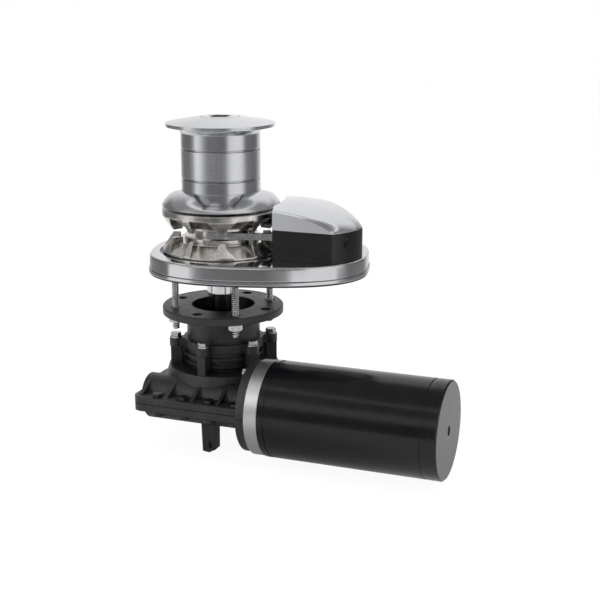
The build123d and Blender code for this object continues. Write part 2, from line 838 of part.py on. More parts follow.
def adapter(side):
    """Half of the round face that carries the motor, with a cone to the worm housing."""
    disc = Pos((adapter_left + adapter_right) / 2, 0, 0) * along_x(
        Cylinder(adapter_radius, adapter_right - adapter_left))
    cone = Pos(adapter_left - 4, 0, 0) * along_x(Cone(upper_barrel_radius, adapter_cone_radius, 10))
    bell = disc + cone
    bell -= tube_x(adapter_room_radius, 0, adapter_left + 1.5, adapter_right + 1)
    screw_hole = tube_x(motor_screw_radius + 0.2, 0, adapter_left - 10, adapter_right + 10)
    for turn in motor_screw_turns:
        bell -= Rot(turn, 0, 0) * Pos(0, 0, motor_screw_circle) * screw_hole
    return on_worm_axis(bell & casting_half(side))


def gearbox_top():
    base = split_gasket / 2
    flange = Pos(0, 0, base) * extrude(split_outline(), split_flange_height - base)
    pot = revolve(Plane.XZ * make_face(Polyline(
        (0, base), (pot_radius, base), (pot_radius, 16), (pot_top_radius, gearbox_top_height),
        (0, gearbox_top_height), close=True)), Axis.Z)
    barrel = tube_x(upper_barrel_radius, 0, upper_barrel_left, adapter_left + 2)
    barrel = on_worm_axis(barrel & casting_half(1))
    body = flange + pot + barrel + adapter(1)
    neck_top = foot_bottom_z - worm_axis_z
    body += ring(neck_radius, 0, gearbox_top_height - 1, neck_top)
    for low in (gearbox_top_height + 4, gearbox_top_height + 12):
        body += ring(neck_radius + 2.5, 0, low, low + 3)
    for x, y, angle in pillar_places():
        height = neck_top - gearbox_top_height + 2
        pillar = Box(12, 9, height) + Pos(-8, 0, 0) * Box(12, 5, height)
        body += Pos(x, y, neck_top - height / 2) * Rot(0, 0, angle) * pillar
    for index in range(4):
        x = gusset_pitch * (index - 2)
        edge = -centre_distance - split_flange_reach + 2
        plan = make_face(Polyline(
            (-centre_distance - 10.5, 19.2), (edge, split_flange_height - 1),
            (-centre_distance - 10.5, split_flange_height - 1), close=True))
        body += Pos(x, 0, 0) * extrude(Plane.YZ * plan, gusset_thickness / 2, both=True)
    for angle in back_gusset_angles:
        plan = make_face(Polyline(
            (pot_radius - 3, 20), (split_flange_circle - 1, split_flange_height - 1),
            (pot_radius - 3, split_flange_height - 1), close=True))
        body += Rot(0, 0, angle) * extrude(Plane.XZ * plan, gusset_thickness / 2, both=True)
    bearing_low = output_upper_z - worm_axis_z
    bearing_high = bearing_low + output_upper_bearing[2]
    body -= ring(wheel_cavity_radius, 0, -1, wheel_cavity_half)
    body -= ring(output_upper_bearing[1] + seat_gap, 0, wheel_cavity_half - 1, bearing_high)
    body -= ring(shaft_radius + 4, 0, bearing_high - 1, neck_top + 1)
    body -= ring(20.0 + seat_gap, 0, neck_top - 8, neck_top + 1)
    body -= worm_bores()
    for x, y, angle in pillar_places():
        body -= Pos(x, y, neck_top - 15) * extrude(Circle(m6_radius + seat_gap), 20)
    for x, y in screw_places():
        body -= Pos(x, y, 0) * extrude(Circle(m6_radius + 0.2), split_flange_height + 1)
    body -= Rot(0, 0, oil_plug_turn) * Pos(oil_plug_radius, 0, 0) * ring(
        5.0 + seat_gap, 0, gearbox_top_height - 6, gearbox_top_height + 1)
    return in_gear_frame(body)


def gearbox_bottom():
    top = -split_gasket / 2
    flange = Pos(0, 0, top) * extrude(split_outline(), -(split_flange_height + top))
    pot = revolve(Plane.XZ * make_face(Polyline(
        (0, top), (pot_radius, top), (pot_radius - 2, -14), (pot_top_radius - 8, -gearbox_bottom_depth),
        (0, -gearbox_bottom_depth), close=True)), Axis.Z)
    barrel = tube_x(lower_barrel_radius, 0, lower_barrel_left, adapter_left - 2)
    barrel = on_worm_axis(barrel & casting_half(-1))
    body = flange + pot + barrel + adapter(-1)
    for index in range(4):
        x, y = screw_places()[index]
        body += Pos(x, y, -split_flange_height) * extrude(Circle(6.5), -4.5)
        body += Pos(x, y + 8, -split_flange_height - 2.2) * Box(9, 16, 4.5)
    tip = 4.0
    leg_outline = make_face(Polyline(
        (leg_x - leg_width / 2 - 1.5, -15), (leg_x - leg_width / 2, leg_bottom + 1),
        (leg_x, leg_bottom), (leg_x + leg_width / 2, leg_bottom + tip),
        (leg_x + leg_width / 2 + 0.5, -15), close=True))
    leg = Pos(0, -centre_distance - 4, 0) * extrude(Plane.XZ * leg_outline, leg_depth / 2, both=True)
    body += leg
    body -= Pos(leg_x + 2, -centre_distance - 4, leg_bottom + 9) * Rot(90, 0, 0) * extrude(
        Rot(0, 0, 90) * SlotOverall(9, 4.4), leg_depth, both=True)
    body -= ring(wheel_cavity_radius, 0, -wheel_cavity_half, 1)
    body -= ring(output_lower_bearing[1] + seat_gap, 0, output_lower_z - worm_axis_z, 1)
    body -= worm_bores()
    for x, y in screw_places():
        body -= Pos(x, y, -11) * extrude(Circle(m6_radius + seat_gap), 12)
    return in_gear_frame(body)


def casing_gasket():
    half = split_gasket / 2
    sheet = Pos(0, 0, -half) * extrude(split_outline(), split_gasket)
    sheet -= ring(wheel_cavity_radius, 0, -1, 1)
    sheet -= on_worm_axis(Box(300, 2 * worm_bearing[1] + 2, 4))
    for x, y in screw_places():
        sheet -= Pos(x, y, -2) * extrude(Circle(m6_radius + 0.3), 4)
    return in_gear_frame(sheet.solids().sort_by(SortBy.VOLUME)[-1])


def casing_screws():
    seat = split_flange_height
    screws = []
    for x, y in screw_places():
        screw = ring(m6_radius, 0, -10, seat) + hexagon(m6_head_flats, seat, seat + m6_head_height)
        screws.append(in_gear_frame(Pos(x, y, 0) * screw))
    return group(screws)


def oil_plug():
    """Hexagon plug in the back of the casting's top."""
    plug = ring(5.0, 0, gearbox_top_height - 6, gearbox_top_height) + hexagon(
        12.0, gearbox_top_height, gearbox_top_height + 4)
    return in_gear_frame(Rot(0, 0, oil_plug_turn) * Pos(oil_plug_radius, 0, 0) * plug)


# Bearings, seals and gears

def ball_bearing(size, axis_along_x=False):
    """Closed ball bearing: both rings with shields set in between, in one solid."""
    bore, outside, width = size
    body = ring(outside, bore, -width / 2, width / 2)
    groove_in = bore + (outside - bore) * 0.3
    groove_out = bore + (outside - bore) * 0.72
    for side in (-1, 1):
        body -= ring(groove_out, groove_in, side * width / 2 - 0.8, side * width / 2 + 0.8)
    return along_x(body) if axis_along_x else body


def output_bearing_upper():
    bore, outside, width = output_upper_bearing
    size = (bore + seat_gap, outside, width - 0.2)
    return Pos(0, 0, output_upper_z + width / 2) * ball_bearing(size)


def output_bearing_lower():
    bore, outside, width = output_lower_bearing
    size = (bore + seat_gap, outside, width - 0.2)
    return Pos(0, 0, output_lower_z + width / 2) * ball_bearing(size)


def output_seal():
    return ring(20.0, shaft_radius + run_fit, foot_bottom_z - 7.5, foot_bottom_z - 0.3)


def worm_wheel():
    """Bronze wheel with slanted tooth gaps cut round its rim."""
    pitch_radius = gear_module * wheel_teeth / 2
    tip = pitch_radius + gear_module
    blank = ring(tip, 0, -wheel_face / 2, wheel_face / 2)
    lead_angle = degrees(atan2(worm_lead, 2 * pi * worm_pitch_radius))
    depth = 2.3 * gear_module
    root = tip - depth
    half_pitch = pi * gear_module / 4
    slope = tan(radians(20))
    bottom_half = half_pitch - 1.2 * gear_module * slope + tooth_backlash / 2
    top_half = half_pitch + 1.2 * gear_module * slope + tooth_backlash / 2
    gap_plan = make_face(Polyline(
        (root, -bottom_half), (tip + 0.5, -top_half), (tip + 0.5, top_half), (root, bottom_half), close=True))
    gap = extrude(gap_plan, wheel_face, both=True)
    gap = Rot(-lead_angle, 0, 0) * gap
    for index in range(wheel_teeth):
        blank -= Rot(0, 0, 270 + 360 * index / wheel_teeth) * gap
    for side in (-1, 1):
        blank -= ring(root - 5, 20, side * wheel_face / 2 - 4, side * wheel_face / 2 + 4)
    wheel = Pos(0, 0, worm_axis_z) * Rot(0, 0, gear_yaw) * blank
    wheel -= ring(shaft_radius + seat_gap, 0, wheel_bottom_z - 1, wheel_top_z + 1)
    wheel -= key_space(wheel_bottom_z - 1, wheel_top_z + 1)
    return wheel


def wheel_key():
    return key(wheel_bottom_z + 0.5, wheel_top_z - 0.5)


def worm_shaft():
    """Steel shaft with a single-start thread."""
    inner = worm_bearing_centre - worm_bearing[2] / 2
    reach = worm_bearing_centre + worm_bearing[2] / 2
    shaft = along_x(Cylinder(worm_root_radius, 2 * inner))
    shaft += Pos((coupling_middle - reach) / 2, 0, 0) * along_x(
        Cylinder(worm_journal_radius - run_fit, coupling_middle + reach))
    for side in (-1, 1):
        shaft += Pos(side * (inner - 2), 0, 0) * along_x(Cylinder(worm_journal_radius + 2.5, 4))
    slope = tan(radians(20))
    thinning = 0.35
    tooth_base = gear_module * pi / 4 + 1.2 * gear_module * slope - thinning
    tooth_tip = gear_module * pi / 4 - gear_module * slope - thinning
    helix = Helix(pitch=worm_lead, height=worm_turns * worm_lead, radius=worm_pitch_radius)
    start = Plane(origin=helix @ 0, x_dir=(1, 0, 0), z_dir=helix % 0)
    low = worm_root_radius - 0.4 - worm_pitch_radius
    section = start * make_face(Polyline(
        (low, -tooth_base), (gear_module, -tooth_tip), (gear_module, tooth_tip), (low, tooth_base), close=True))
    thread = sweep(section, path=helix, is_frenet=True)
    thread = Rot(0, 90, 0) * Pos(0, 0, -worm_turns * worm_lead / 2) * thread
    return in_gear_frame(on_worm_axis(shaft + thread))


def worm_bearings():
    places = (-worm_bearing_centre, worm_bearing_centre)
    return group([
        in_gear_frame(on_worm_axis(Pos(x, 0, 0) * ball_bearing(worm_bearing, True))) for x in places])


def worm_seal():
    middle = worm_seal_middle
    outside = worm_seal_radius - seat_gap
    return in_motor(tube_x(outside, worm_journal_radius + run_fit, middle - 2, middle + 2))


def coupling():
    """Sleeve that joins the worm to the motor shaft."""
    half = coupling_half_length
    sleeve = Pos(coupling_middle, 0, 0) * along_x(Cylinder(coupling_radius, 2 * half))
    sleeve -= Pos(coupling_middle - half, 0, 0) * along_x(Cylinder(worm_journal_radius, 2 * half))
    sleeve -= Pos(coupling_middle + half, 0, 0) * along_x(Cylinder(motor_front_bearing[0], 2 * half))
    return in_gear_frame(on_worm_axis(sleeve))


# Motor, in the gearbox frame

def in_motor(shape):
    return in_gear_frame(on_worm_axis(shape))


def tube_x(outer, inner, start, end):
    body = ring(outer, inner, start, end)
    return along_x(body)


def motor_ring():
    """Aluminium front bell between the gearbox and the motor body."""
    seat = ring_right - motor_front_bearing[2] - 0.2
    bell = tube_x(ring_radius, coupling_radius + free_gap, ring_left, ring_right)
    bell = chamfer(bell.edges().filter_by(GeomType.CIRCLE).group_by(SortBy.RADIUS)[-1], 0.6)
    spigot = motor_radius - motor_wall - seat_gap
    bell += tube_x(spigot, spigot - motor_spigot_wall, ring_right, ring_right + 5)
    bell -= tube_x(motor_front_bearing[1] + seat_gap, 0, seat, ring_right + 1)
    bell -= tube_x(adapter_room_radius, motor_front_bearing[1] + 5, ring_right - 8, ring_right + 1)
    for turn in motor_screw_turns:
        bell -= Rot(turn, 0, 0) * Pos(ring_left + 5, 0, motor_screw_circle) * along_x(
            Cylinder(motor_screw_radius + seat_gap, 14))
    return in_motor(bell)


def motor_flange_screws():
    screws = []
    for turn in motor_screw_turns:
        screw = tube_x(motor_screw_radius, 0, adapter_left, ring_left + 11)
        screw += along_x(hexagon(m6_head_flats, adapter_left - m6_head_height, adapter_left))
        screws.append(in_motor(Rot(turn, 0, 0) * Pos(0, 0, motor_screw_circle) * screw))
    return group(screws)


def motor_tube():
    start = ring_right
    end = motor_end - end_cap_length
    body = tube_x(motor_radius, motor_radius - motor_wall, start, end)
    for x in (start + motor_groove_inset, end - motor_groove_inset):
        body -= tube_x(motor_radius + 1, motor_radius - motor_groove_depth,
                       x - motor_groove_width / 2, x + motor_groove_width / 2)
    for x in terminal_places:
        body -= Rot(terminal_turn, 0, 0) * Pos(x, 0, motor_radius) * Cylinder(6 + seat_gap, 12)
    return in_motor(body)


def motor_end_cap():
    start = motor_end - end_cap_length
    cap = tube_x(motor_radius, 0, start, motor_end)
    cap = chamfer(cap.edges().group_by(Axis.X)[-1], 1.4)
    spigot = motor_radius - motor_wall - seat_gap
    cap += tube_x(spigot, spigot - motor_spigot_wall, start - 5, start)
    cap += tube_x(20.0, 0, start - motor_rear_bearing[2] - 1, start)
    cap -= tube_x(motor_rear_bearing[1] + seat_gap, 0, start - motor_rear_bearing[2] - 2, start)
    dimple = Pos(motor_end - 3, 0, 0) * along_x(Cone(2.0, 5.5, 6.01))
    cap -= dimple
    return in_motor(cap)


def motor_shaft():
    rear = motor_end - end_cap_length - motor_rear_bearing[2]
    shaft = tube_x(motor_front_bearing[0] - run_fit, 0, coupling_middle, rear)
    shaft += tube_x(motor_rear_bearing[0] - run_fit, 0, rear, rear + motor_rear_bearing[2] - 0.5)
    return in_motor(shaft)


def motor_bearings():
    front = ball_bearing(motor_front_bearing, True)
    rear = ball_bearing(motor_rear_bearing, True)
    front_x = ring_right - motor_front_bearing[2] / 2
    rear_x = motor_end - end_cap_length - motor_rear_bearing[2] / 2
    return group([in_motor(Pos(front_x, 0, 0) * front), in_motor(Pos(rear_x, 0, 0) * rear)])


def armature_core():
    """Iron core with winding slots."""
    core = tube_x(armature_radius, motor_front_bearing[0], armature_start, armature_end)
    slot_count = 12
    for index in range(slot_count):
        slot = Pos((armature_start + armature_end) / 2, 0, armature_radius - 3) * Box(
            armature_end - armature_start + 2, 3.2, 7.0)
        core -= Rot(360 * index / slot_count, 0, 0) * slot
    return in_motor(core)


def armature_windings():
    """Copper end turns at both ends of the core."""
    ends = []
    for low in (armature_start - winding_length, armature_end):
        high = low + winding_length
        end = tube_x(armature_radius - 4, motor_front_bearing[0] + 2, low, high)
        end = chamfer(end.edges().filter_by(GeomType.CIRCLE).group_by(SortBy.RADIUS)[-1], 3.0)
        ends.append(in_motor(end))
    return group(ends)


def commutator():
    body = tube_x(commutator_radius, motor_front_bearing[0], commutator_start, commutator_end)
    bar_count = 12
    for index in range(bar_count):
        body -= Rot(360 * (index + 0.5) / bar_count, 0, 0) * Pos(
            (commutator_start + commutator_end) / 2, 0, commutator_radius) * Box(40, 0.8, 2.0)
    return in_motor(body)


def field_magnets():
    """Four curved magnets against the inside of the motor tube."""
    magnets = []
    profile = Rectangle(magnet_outer_radius - magnet_inner_radius, armature_end - armature_start + 6)
    middle = (magnet_outer_radius + magnet_inner_radius) / 2
    arc = revolve(Plane.XZ * Pos(middle, 0, 0) * profile, Axis.Z, magnet_angle)
    arc = Rot(0, 0, -magnet_angle / 2) * arc
    for turn in (45, 135, 225, 315):
        body = along_x(Rot(0, 0, turn) * arc)
        magnets.append(in_motor(Pos((armature_start + armature_end) / 2, 0, 0) * body))
    return group(magnets)


def brush_middle():
    return (commutator_start + commutator_end) / 2


def brush_ring():
    """Plastic plate inside the tube with a box for each brush."""
    middle = brush_middle()
    face = middle - brush_length / 2 - 2
    plate = tube_x(motor_radius - motor_wall - seat_gap, commutator_radius + 3, face - 3, face)
    outer_thickness = brush_thickness + 2 * brush_gap + 4
    outer_length = brush_length + 2 * brush_gap + 4
    low = commutator_radius + 4
    for index in range(brush_count):
        box = Pos(middle, 0, (low + holder_top) / 2) * Box(outer_length, outer_thickness, holder_top - low)
        box -= Pos(middle, 0, (low + holder_top) / 2 - 1.5) * Box(
            brush_length + 2 * brush_gap, brush_thickness + 2 * brush_gap, holder_top - low)
        plate += Rot(360 * index / brush_count, 0, 0) * box
    return in_motor(plate)


def carbon_brushes():
    brushes = []
    for index in range(brush_count):
        low = commutator_radius + clutch_gap
        brush = Pos(brush_middle(), 0, low + 8) * Box(brush_length, brush_thickness, 16)
        brushes.append(in_motor(Rot(360 * index / brush_count, 0, 0) * brush))
    return group(brushes)


def brush_springs():
    """Bent leaf springs between the brushes and the tops of their boxes."""
    springs = []
    low = commutator_radius + clutch_gap + 16
    high = holder_top - 1.5
    radius = (high - low) / 2
    for index in range(brush_count):
        strip = Circle(radius) - Circle(radius - 0.6)
        strip -= Pos(0, radius, 0) * Rectangle(0.8 * radius, 2 * radius)
        leaf = extrude(strip, 2.5, both=True)
        leaf = Pos(brush_middle(), 0, (low + high) / 2) * Rot(90, 0, 0) * leaf & Pos(
            brush_middle(), 0, (low + high) / 2) * Box(brush_length, brush_thickness, 40)
        springs.append(in_motor(Rot(360 * index / brush_count, 0, 0) * leaf))
    return group(springs)


def at_terminal(x, shape):
    return in_motor(Rot(terminal_turn, 0, 0) * Pos(x, 0, 0) * shape)


def terminal_insulators():
    pads = []
    for x in terminal_places:
        pad = ring(6.0, stud_radius + seat_gap, motor_radius - motor_wall - 1, motor_radius + 1)
        pad += ring(9.0, stud_radius + seat_gap, motor_radius + 0.1, motor_radius + 3.5)
        pads.append(at_terminal(x, pad))
    return group(pads)


def terminal_studs():
    stud = ring(stud_radius, 0, motor_radius - 6, motor_radius + 15)
    return group([at_terminal(x, stud) for x in terminal_places])


def terminal_nuts():
    low = motor_radius + 3.5
    nuts = []
    for x in terminal_places:
        nut = hexagon(m8_nut_flats, low, low + 5) - ring(stud_radius + seat_gap, 0, low - 1, low + 6)
        nuts.append(at_terminal(x, nut))
    return group(nuts)


nodes = {
    "base_plate": base_plate,
    "base_gasket": base_gasket,
    "deck_bush": deck_bush,
    "shaft_bearing": shaft_bearing,
    "shaft_seal": shaft_seal,
    "main_shaft": main_shaft,
    "shaft_key": shaft_key,
    "cone_collar": cone_collar,
    "lower_clutch_cone": lambda: clutch_cone(True),
    "upper_clutch_cone": lambda: clutch_cone(False),
    "gypsy": gypsy,
    "drum": drum,
    "drum_cap": drum_cap,
    "disc_springs": disc_springs,
    "clutch_nut": clutch_nut,
    "cover_housing": cover_housing,
    "cover_dome": cover_dome,
    "cover_screws": cover_screws,
    "chain_stripper": chain_stripper,
    "stripper_screw": stripper_screw,
    "mounting_flange": mounting_flange,
    "mounting_studs": mounting_studs,
    "stud_washers": stud_washers,
    "stud_nuts": stud_nuts,
    "clamp_bolts": clamp_bolts,
    "clamp_washers": clamp_washers,
    "gearbox_top": gearbox_top,
    "gearbox_bottom": gearbox_bottom,
    "casing_gasket": casing_gasket,
    "casing_screws": casing_screws,
    "oil_plug": oil_plug,
    "output_bearing_upper": output_bearing_upper,
    "output_bearing_lower": output_bearing_lower,
    "output_seal": output_seal,
    "worm_wheel": worm_wheel,
    "wheel_key": wheel_key,
    "worm_shaft": worm_shaft,
    "worm_bearings": worm_bearings,
    "worm_seal": worm_seal,
    "coupling": coupling,
    "motor_ring": motor_ring,
    "motor_flange_screws": motor_flange_screws,
    "motor_tube": motor_tube,
    "motor_end_cap": motor_end_cap,
    "motor_shaft": motor_shaft,
    "motor_bearings": motor_bearings,
    "armature_core": armature_core,
    "armature_windings": armature_windings,
    "commutator": commutator,
    "field_magnets": field_magnets,
    "brush_ring": brush_ring,
    "carbon_brushes": carbon_brushes,
    "brush_springs": brush_springs,
    "terminal_insulators": terminal_insulators,
    "terminal_studs": terminal_studs,
    "terminal_nuts": terminal_nuts,
}

for name, make in nodes.items():
    save(make(), name)
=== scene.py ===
import json
import math

import bpy
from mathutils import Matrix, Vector


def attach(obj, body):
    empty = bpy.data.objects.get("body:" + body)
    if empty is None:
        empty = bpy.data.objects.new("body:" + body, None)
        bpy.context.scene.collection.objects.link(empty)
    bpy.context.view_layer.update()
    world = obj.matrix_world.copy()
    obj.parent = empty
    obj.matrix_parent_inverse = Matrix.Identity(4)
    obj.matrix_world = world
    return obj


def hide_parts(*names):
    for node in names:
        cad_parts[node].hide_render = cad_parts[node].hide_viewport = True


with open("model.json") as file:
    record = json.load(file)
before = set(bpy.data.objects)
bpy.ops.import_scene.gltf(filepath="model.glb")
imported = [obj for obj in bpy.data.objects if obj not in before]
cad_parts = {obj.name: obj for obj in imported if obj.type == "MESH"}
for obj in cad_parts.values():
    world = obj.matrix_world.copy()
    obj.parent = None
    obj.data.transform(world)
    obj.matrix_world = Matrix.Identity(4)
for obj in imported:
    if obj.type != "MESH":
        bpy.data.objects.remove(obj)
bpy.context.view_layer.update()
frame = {"nodes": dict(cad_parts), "record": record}
nodes = frame["nodes"]
bpy.ops.object.select_all(action="DESELECT")
print("frame loaded,", len(nodes), "nodes")


# Camera: the photograph's own view, from a little above and a little to the right of square on
camera = {
    "place": (0.1957, -1.2693, 0.2977),
    "tiltDown": 14.61,
    "turn": 5.0,
    "lens": 72.4,
}


def placeCamera(look):
    data = bpy.data.cameras.new("photoCamera")
    data.lens = look["lens"]
    data.sensor_width = 36.0
    data.clip_start = 0.01
    data.clip_end = 50.0
    eye = bpy.data.objects.new("photoCamera", data)
    eye.location = look["place"]
    eye.rotation_euler = (math.radians(90 - look["tiltDown"]), 0, math.radians(look["turn"]))
    bpy.context.scene.collection.objects.link(eye)
    bpy.context.scene.camera = eye


placeCamera(camera)
print("camera placed")


# A number or vector that comes out of a node, so that shader sums can be written as sums
class Flow:
    def __init__(self, finish, socket):
        self.finish = finish
        self.socket = socket

    def sum(self, operation, first, second=None):
        values = {0: first}
        if second is not None:
            values[1] = second
        return self.finish.add("ShaderNodeMath", {"operation": operation}, values)

    def __add__(self, other):
        return self.sum("ADD", self, other)

    def __radd__(self, other):
        return self.sum("ADD", other, self)

    def __sub__(self, other):
        return self.sum("SUBTRACT", self, other)

    def __rsub__(self, other):
        return self.sum("SUBTRACT", other, self)

    def __mul__(self, other):
        return self.sum("MULTIPLY", self, other)

    def __rmul__(self, other):
        return self.sum("MULTIPLY", other, self)

    def __truediv__(self, other):
        return self.sum("DIVIDE", self, other)

    def __rtruediv__(self, other):
        return self.sum("DIVIDE", other, self)

    def __pow__(self, other):
        return self.sum("POWER", self, other)

    def size(self):
        return self.sum("ABSOLUTE", self)

    def above(self, level):
        return self.sum("GREATER_THAN", self, level)

    def most(self, other):
        return self.sum("MAXIMUM", self, other)

    def least(self, other):
        return self.sum("MINIMUM", self, other)


# One material and the few things that every finish below needs
class Finish:
    def __init__(self, name):
        self.material = bpy.data.materials.new(name)
        self.material.use_nodes = True
        self.tree = self.material.node_tree
        self.surface = self.tree.nodes["Principled BSDF"]
        self.place = self.add("ShaderNodeTexCoord", {}, {}, "Object")

    def add(self, kind, settings, values, output=0):
        made = self.tree.nodes.new(kind)
        for name, value in settings.items():
            if name == "stops":
                ramp = made.color_ramp
                for index, (position, shade) in enumerate(value):
                    stop = ramp.elements[index] if index < 2 else ramp.elements.new(position)
                    stop.position = position
                    stop.color = (shade, shade, shade, 1)
            else:
                setattr(made, name, value)
        for name, value in values.items():
            self.feed(made.inputs[name], value)
        return Flow(self, made.outputs[output])

    def feed(self, socket, value):
        if isinstance(value, Flow):
            self.tree.links.new(value.socket, socket)
        else:
            socket.default_value = value

    def turned(self, degrees):
        # The piece's coordinates, turned about the upright axis
        return self.add("ShaderNodeMapping", {"vector_type": "POINT"}, {
            "Vector": self.place, "Rotation": (0, 0, math.radians(degrees))})

    def parts(self, vector):
        split = self.add("ShaderNodeSeparateXYZ", {}, {"Vector": vector})
        return [Flow(self, split.socket.node.outputs[index]) for index in range(3)]

    def joined(self, x, y, z):
        return self.add("ShaderNodeCombineXYZ", {}, {"X": x, "Y": y, "Z": z})

    def noise(self, scale, detail=2.0, vector=None):
        return self.add("ShaderNodeTexNoise", {}, {
            "Vector": vector or self.place, "Scale": scale, "Detail": detail, "Roughness": 0.55})

    def cells(self, scale, vector=None):
        return self.add("ShaderNodeTexVoronoi", {}, {"Vector": vector or self.place, "Scale": scale})

    def ramp(self, value, *stops):
        return self.add("ShaderNodeValToRGB", {"stops": stops}, {"Fac": value})

    def blend(self, factor, first, second):
        full = [tuple(colour) + (1,) if isinstance(colour, tuple) else colour for colour in (first, second)]
        mixed = self.add("ShaderNodeMix", {"data_type": "RGBA"}, {0: factor, 6: full[0], 7: full[1]})
        return Flow(self, mixed.socket.node.outputs[2])

    def crevice(self, reach):
        # Painted shade from ambient occlusion: 1 on open surfaces, towards 0 deep in corners and grooves of
        # the same piece
        return self.add(
            "ShaderNodeAmbientOcclusion", {"samples": 6, "only_local": True}, {"Distance": reach}, "AO")

    def bump(self, height, strength, distance, edge=0.0):
        values = {"Height": height, "Strength": strength, "Distance": distance}
        if edge > 0:
            values["Normal"] = self.add("ShaderNodeBevel", {"samples": 4}, {"Radius": edge})
        self.feed(self.surface.inputs["Normal"], self.add("ShaderNodeBump", {}, values))

    def set(self, **values):
        names = {
            "colour": "Base Color", "roughness": "Roughness", "metallic": "Metallic", "coat": "Coat Weight",
            "coatRoughness": "Coat Roughness", "specular": "Specular IOR Level"}
        for name, value in values.items():
            if isinstance(value, tuple) and len(value) == 3:
                value = value + (1,)
            self.feed(self.surface.inputs[names[name]], value)
        return self.material


gearYaw = -16.0          # direction of the worm and the motor, in degrees


def aroundShaft(finish):
    # Distance from the main shaft, and height
    x, y, z = finish.parts(finish.place)
    return (x * x + y * y) ** 0.5, z


def alongMotor(finish):
    # Place along the motor's axis
    return finish.parts(finish.turned(-gearYaw))[0]


# Turned stainless steel of the drum: fine rings left by the lathe, brushed upright between the two grooves
drumSteel = {
    "colour": (0.66, 0.665, 0.685), "roughness": 0.18, "ringsPerMetre": 2600.0, "ringDepth": 0.00002,
    "brushedFrom": 0.1010, "brushedTo": 0.1302, "streaks": 26.0, "streakHeight": 9.0, "smudges": 28.0,
    "paintedShadeReach": 0.004, "paintedShadeColour": (0.08, 0.08, 0.085), "roundedEdge": 0.0007}


def makeDrumSteel(look):
    finish = Finish("drumSteel")
    radius, height = aroundShaft(finish)
    rings = finish.noise(look["ringsPerMetre"], 1.0, finish.joined(radius, 0.0, height))
    x, y, z = finish.parts(finish.place)
    turn = finish.add("ShaderNodeMath", {"operation": "ARCTAN2"}, {0: x, 1: y})
    stretched = finish.joined(turn * look["streaks"], 0.0, height * look["streakHeight"])
    streaks = finish.noise(1.0, 3.0, stretched)
    brushed = height.above(look["brushedFrom"]) * (1 - height.above(look["brushedTo"]))
    smudge = finish.noise(look["smudges"], 4.0)
    roughness = look["roughness"] + (rings - 0.5) * 0.08 + (smudge - 0.5) * 0.1 + brushed * streaks * 0.16
    darker = tuple(0.82 * part for part in look["colour"])
    finish.bump(rings + brushed * streaks * 1.4, 0.35, look["ringDepth"], edge=look["roundedEdge"])
    # Painted shade: the drum's colour goes towards near-black in its corners and grooves, from ambient
    # occlusion
    paintedShadeMask = finish.ramp(finish.crevice(look["paintedShadeReach"]), (0.3, 1.0), (0.75, 0.0))
    plain = finish.blend(smudge * 0.6 + brushed * (streaks - 0.5) * 1.2, look["colour"], darker)
    return finish.set(
        colour=finish.blend(paintedShadeMask * 0.8, plain, look["paintedShadeColour"]), metallic=1.0, roughness=roughness)


# Polished stainless of the bush, the base and the dome
polish = {
    "smudges": 22.0, "grains": 900.0, "paintedShadeReach": 0.003, "paintedShadeColour": (0.05, 0.05, 0.055),
    "markDepth": 6.0, "roundedEdge": 0.0012}
polishedSteel = {"colour": (0.68, 0.68, 0.7), "roughness": 0.1}
baseSteel = {"colour": (0.66, 0.66, 0.68), "roughness": 0.07, "lines": (0.0058, 0.0018), "lineWidth": 0.0007}
domeSteel = {
    "colour": (0.7, 0.705, 0.73), "roughness": 0.12, "frontPoint": (0.06, -0.05), "frontAngle": -15.5,
    "skin": 0.00005, "beadWidth": 0.0042, "lineWidth": 0.0006, "satin": 0.24}


def line(distance, width):
    # 1 in the middle of a line, 0 beside it
    return 1 - (distance.size() / width).least(1.0)


def polished(finish, look, groovesWithPaintedShade, satin=0.0):
    smudge = finish.noise(polish["smudges"], 5.0)
    fine = finish.noise(polish["grains"], 2.0)
    roughness = look["roughness"] + (smudge - 0.5) * 0.08 + (fine - 0.5) * 0.03 + satin
    darker = tuple(0.88 * part for part in look["colour"])
    # Painted shade: near-black in corners from ambient occlusion, and along the given lines, which the bump
    # also presses in as grooves
    paintedShadeMask = finish.ramp(finish.crevice(polish["paintedShadeReach"]), (0.3, 0.7), (0.7, 0.0))
    finish.bump(smudge + groovesWithPaintedShade * -polish["markDepth"], 0.05, 0.0004, edge=polish["roundedEdge"])
    plain = finish.blend(smudge, look["colour"], darker)
    return finish.set(
        colour=finish.blend(paintedShadeMask.most(groovesWithPaintedShade * 0.9), plain, polish["paintedShadeColour"]), metallic=1.0,
        roughness=roughness)


def makePolishedSteel(look):
    return polished(Finish("polishedSteel"), look, 0.0)


def makeBaseSteel(look):
    # Painted shadow: a fine dark line over the lip and one along its foot, both also pressed in as grooves
    finish = Finish("baseSteel")
    x, y, z = finish.parts(finish.place)
    groovesWithPaintedShade = line(z - look["lines"][0], look["lineWidth"]).most(line(z - look["lines"][1], look["lineWidth"]))
    return polished(finish, look, groovesWithPaintedShade)


def makeDomeSteel(look):
    # The flat front is ground, and a bead runs round it
    finish = Finish("domeSteel")
    x, y, z = finish.parts(finish.place)
    turn = math.radians(look["frontAngle"])
    middleX, middleY = look["frontPoint"]
    depth = (x - middleX) * -math.sin(turn) + (y - middleY) * math.cos(turn)
    onFront = 1 - depth.above(look["skin"])
    # Painted shade: a dark line along the bead's groove, which the bump also presses in
    groovesWithPaintedShade = line(depth - look["beadWidth"], look["lineWidth"])
    return polished(finish, look, groovesWithPaintedShade, onFront * look["satin"])


# Bright chrome of the cast gypsy: a little wavy, since it is plated over a casting
gypsyChrome = {
    "colour": (0.74, 0.72, 0.69), "roughness": 0.2, "waves": 70.0, "pits": 520.0, "bumpDepth": 0.0009,
    "roundedEdge": 0.0016, "paintedShadeReach": 0.006, "paintedShadeColour": (0.07, 0.065, 0.06)}


